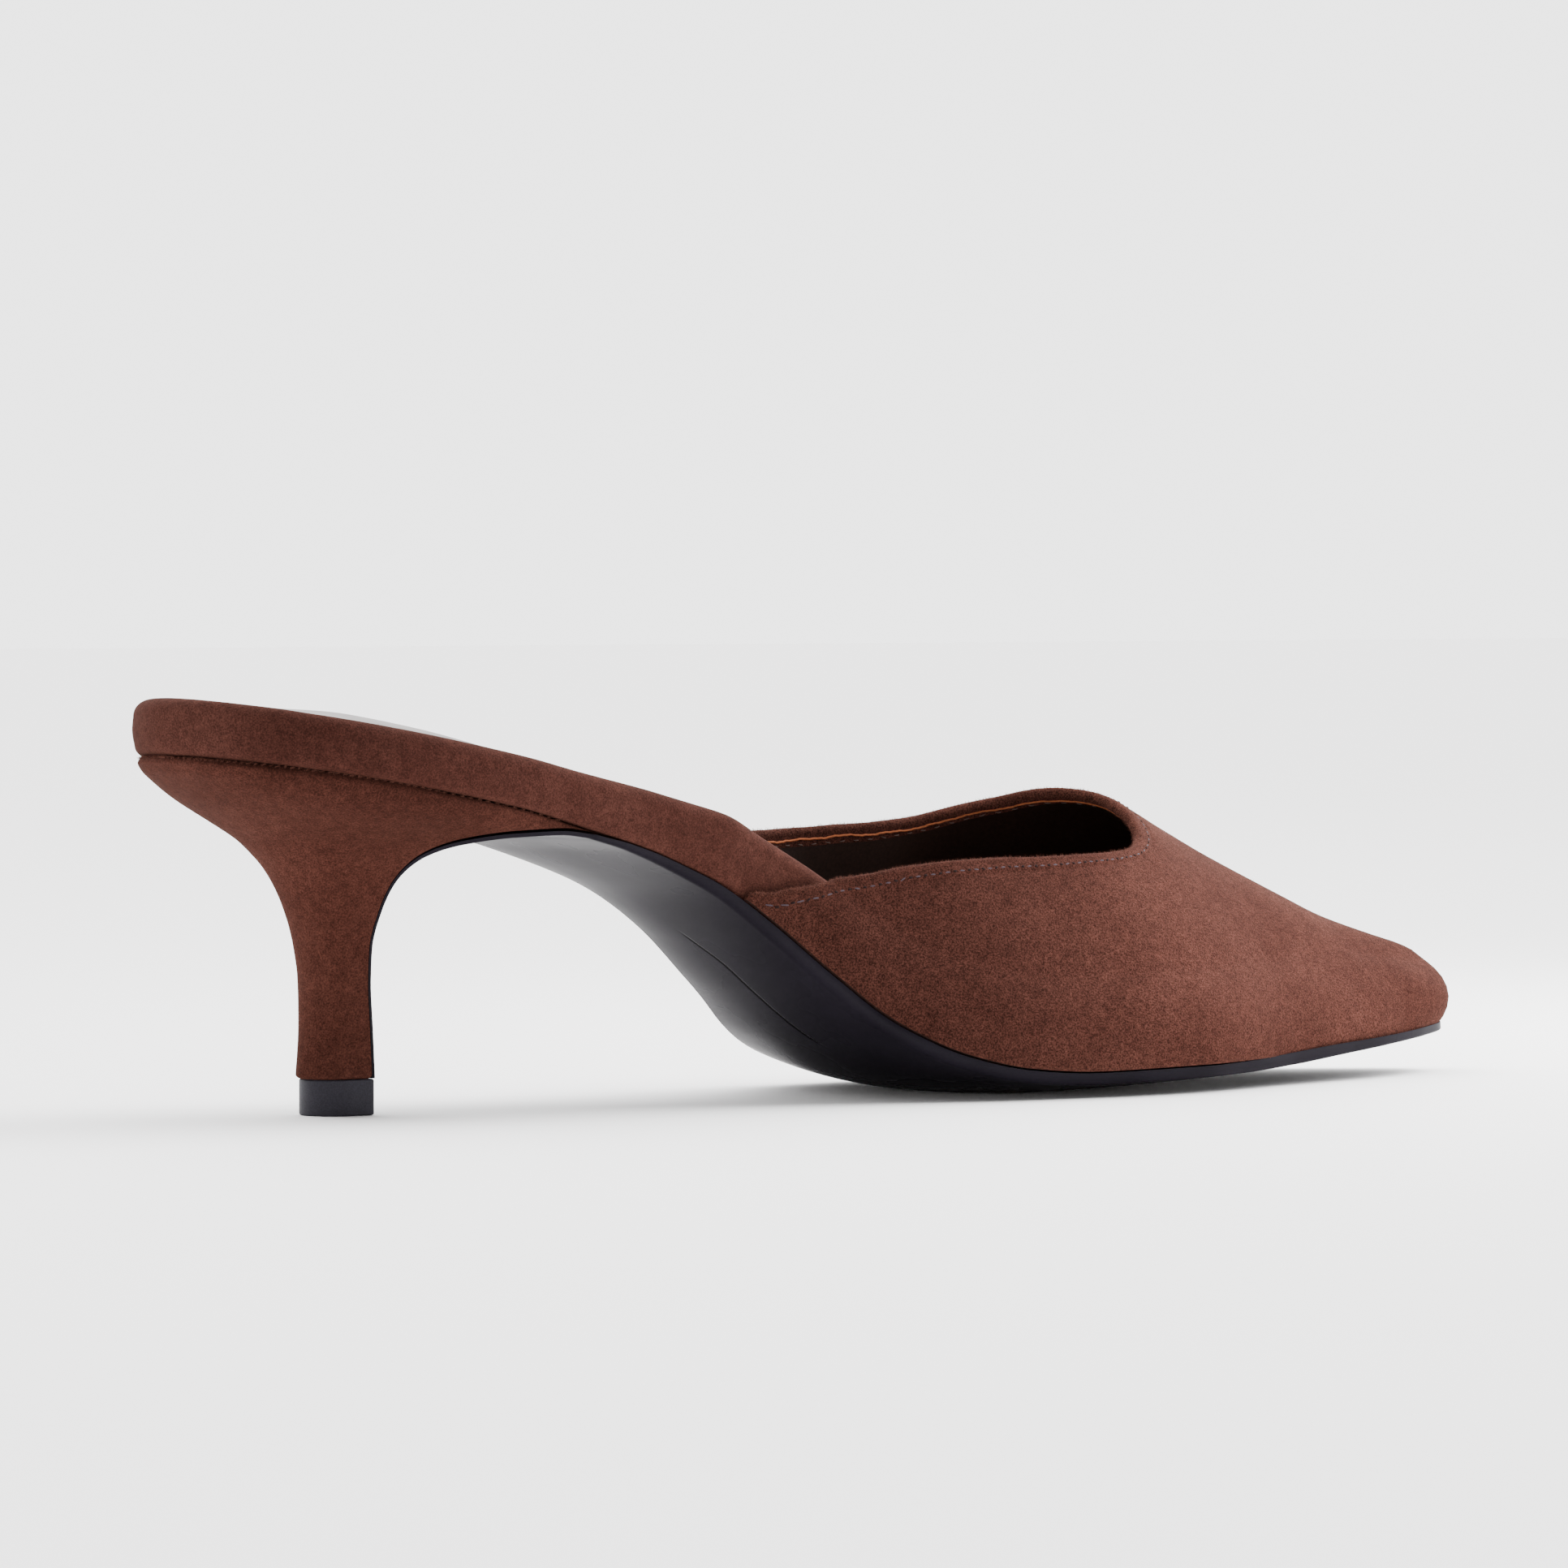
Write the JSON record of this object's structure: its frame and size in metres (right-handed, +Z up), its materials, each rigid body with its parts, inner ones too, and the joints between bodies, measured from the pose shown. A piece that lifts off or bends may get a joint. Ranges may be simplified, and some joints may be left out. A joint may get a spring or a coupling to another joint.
{
  "type": "mule",
  "caption": "Backless kitten-heel mule with a pointed toe: hollow suede vamp, padded footbed with lining, slim covered heel with rubber tip, and thin crowned leather sole.",
  "frame": {"origin": "centre of the heel tip's bottom face, on the floor", "axes": "+X from the heel to the toe, +Y to the inner (medial) side of the foot, +Z up"},
  "size_m": [0.2521, 0.0689, 0.0648],
  "materials": {
    "tip_rubber": "matte black rubber",
    "heel_suede": "brown suede with a short nap",
    "sole_leather": "smooth black leather, satin",
    "rim_suede": "brown suede with a short nap",
    "sock_leather": "smooth dark leather, satin",
    "upper_suede": "brown suede outside, dark lining inside"
  },
  "bodies": {
    "root": {"top_piece": "tip_rubber", "heel_block": "heel_suede", "outsole": "sole_leather", "footbed": "rim_suede", "sock_lining": "sock_leather", "upper": "upper_suede"}
  },
  "joints": []
}
